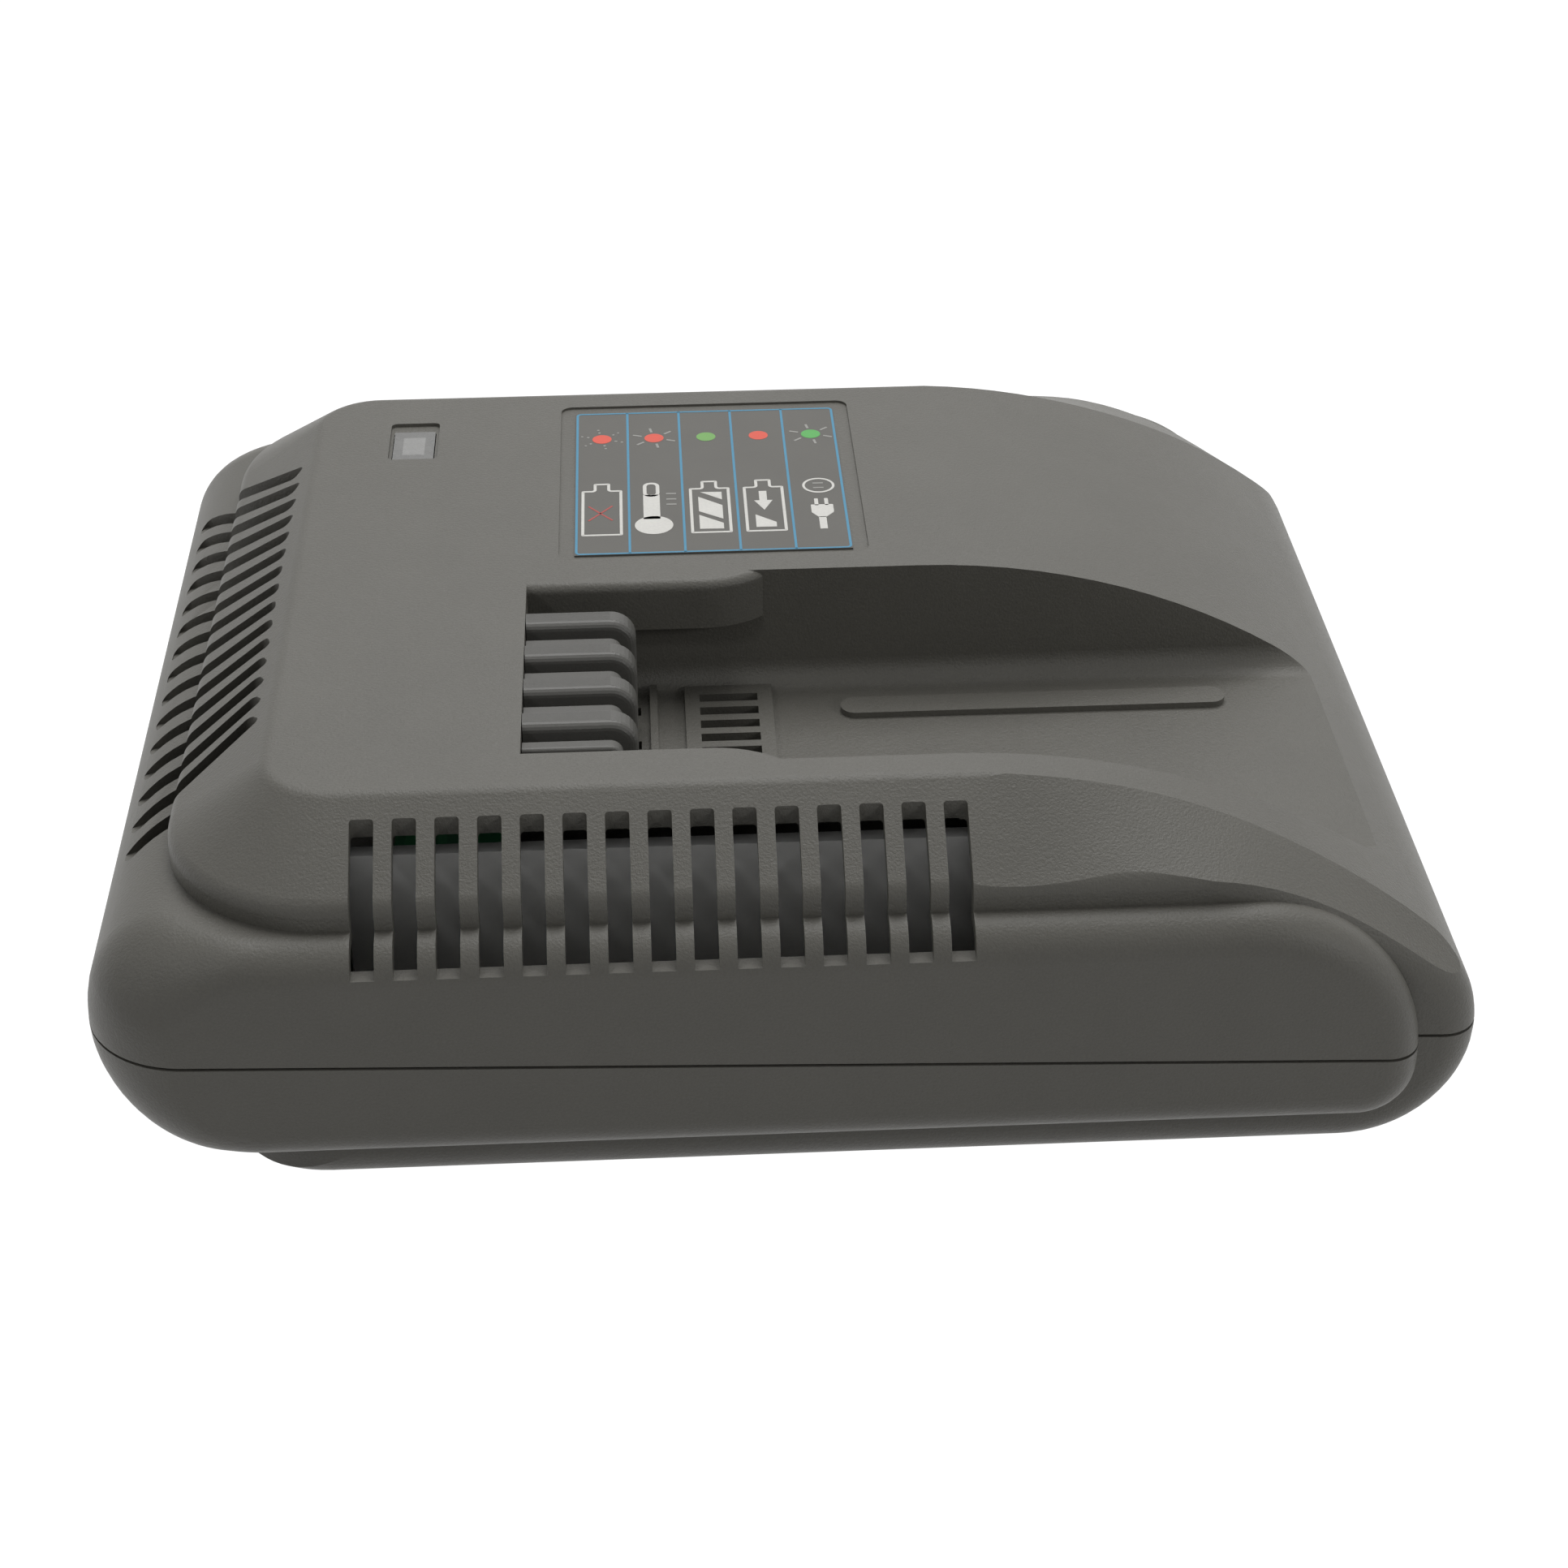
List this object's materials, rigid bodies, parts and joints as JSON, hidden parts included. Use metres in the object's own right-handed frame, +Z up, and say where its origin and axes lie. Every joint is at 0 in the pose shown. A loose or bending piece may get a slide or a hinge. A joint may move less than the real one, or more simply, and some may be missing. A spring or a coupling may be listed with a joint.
{
  "type": "power tool battery charger",
  "caption": "Low wedge-shaped bench charger with a slide-in battery channel, vents, a status label and a light window, and a cooling fan inside.",
  "frame": {"origin": "centre of the footprint, on the table under the rubber feet", "axes": "+X towards the end where the battery slides on, +Z up, -Y towards the long row of vents"},
  "size_m": [0.206, 0.173, 0.0615],
  "materials": {
    "case": "fine spark-eroded grain, warm dark grey",
    "case_lower": "fine grain, warm dark grey",
    "feet": "soft, matt",
    "steel": "zinc plated",
    "label": "printed film",
    "lens": "translucent, satin",
    "board": "laminate with solder mask",
    "lamp": "clear resin over phosphor",
    "black_plastic": "moulded, satin",
    "brass": "plated",
    "aluminium": "rolled sheet",
    "ferrite": "sintered, matt",
    "copper": "enamelled wire",
    "sleeve": "shrunk sleeve over an aluminium can",
    "film": "potted box",
    "glass": "clear tube",
    "lead": "insulated lead",
    "header": "natural nylon"
  },
  "bodies": {
    "case": {"upper_housing": "case", "lower_housing": "case_lower", "rubber_feet": "feet", "case_screws": "steel", "board_screws": "steel", "fan_screws": "steel", "status_label": "label", "light_pipe": "lens", "light_board": "board", "status_lamps": "lamp", "main_board": "board", "terminal_guide": "case_lower", "terminal_block": "black_plastic", "terminal_blades": "brass", "fan_frame": "black_plastic", "front_heat_sink": "aluminium", "rear_heat_sink": "aluminium", "output_rectifiers": "black_plastic", "power_transistors": "black_plastic", "transformer_core": "ferrite", "transformer_bobbin": "black_plastic", "transformer_winding": "copper", "bulk_capacitors": "sleeve", "output_capacitors": "sleeve", "filter_choke": "copper", "film_capacitor": "film", "fuse": "glass", "fuse_clips": "brass", "control_chips": "black_plastic", "mains_inlet": "black_plastic", "inlet_pins": "brass", "inlet_leads": "lead", "fan_lead": "lead", "light_lead": "lead", "board_headers": "header"},
    "fan": {"fan_rotor": "black_plastic"}
  },
  "joints": [
    {"name": "fan_spin", "type": "hinge", "parent": "case", "child": "fan", "pos_m": [0.004, -0.03125, 0.031], "axis": [0, 0, 1], "continuous": true}
  ]
}
